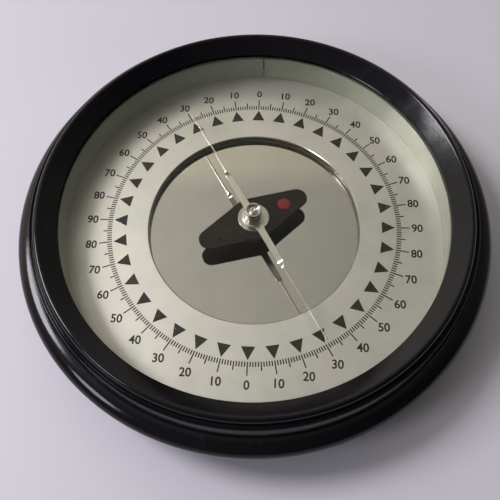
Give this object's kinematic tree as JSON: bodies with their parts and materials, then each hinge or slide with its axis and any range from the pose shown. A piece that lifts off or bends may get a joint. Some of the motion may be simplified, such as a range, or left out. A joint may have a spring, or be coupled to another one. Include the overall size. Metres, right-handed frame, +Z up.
{
  "type": "laboratory compass box",
  "caption": "Round glazed compass box: pivoted magnet with a long pointer over a ring dial marked in four quadrants and a mirror, in a moulded case.",
  "frame": {"origin": "middle of the underside, on the surface the case stands on", "axes": "+Z up through the pivot; +Y towards the zero mark at the far side of the dial; +X towards the right-hand 90 mark"},
  "size_m": [0.145, 0.145, 0.026],
  "materials": {
    "phenolic": "moulded, glossy",
    "dial_metal": "satin, silvered, printed",
    "liner_metal": "satin",
    "mirror": "silvered",
    "glass": "clear",
    "magnet_black": "black, satin",
    "red_enamel": "enamel",
    "bright_metal": "turned, bright",
    "pointer_metal": "bright, rolled strip",
    "brass": "turned",
    "steel": "hardened, polished",
    "agate": "polished",
    "fibre": "hard board, painted",
    "felt": "felt",
    "rubber": "soft"
  },
  "bodies": {
    "case": {"case_body": "phenolic", "base_plate": "fibre", "base_screws": "brass", "wall_liner": "liner_metal", "dial_ring": "dial_metal", "dial_dowels": "brass", "dial_shim": "fibre", "mirror_disc": "mirror", "mirror_felt": "felt", "pivot_post": "brass", "pivot_washer": "brass", "pivot_nut": "brass", "pivot_pin": "steel"},
    "glazing": {"glass_gasket": "rubber", "cover_glass": "glass"},
    "bezel": {"bezel_ring": "phenolic"},
    "needle": {"jewel_cup": "brass", "jewel": "agate", "hub": "bright_metal", "hub_disc": "bright_metal", "hub_collar": "bright_metal", "pointer": "pointer_metal", "magnet": "magnet_black", "north_mark": "red_enamel"}
  },
  "joints": [
    {"name": "needle_spin", "type": "hinge", "parent": "case", "child": "needle", "pos_m": [0, 0, 0.0173], "axis": [0, 0, 1], "continuous": true},
    {"name": "glazing_rise", "type": "slide", "parent": "case", "child": "glazing", "axis": [0, 0, 1], "range_m": [0, 0.009]},
    {"name": "bezel_turn", "type": "hinge", "parent": "glazing", "child": "bezel", "pos_m": [0, 0, 0.0205], "axis": [0, 0, 1], "range_deg": [0, 1080]}
  ],
  "couplings": [
    {"joint": "bezel_turn", "follows": "glazing_rise", "rad_per_m": 2094.4}
  ]
}
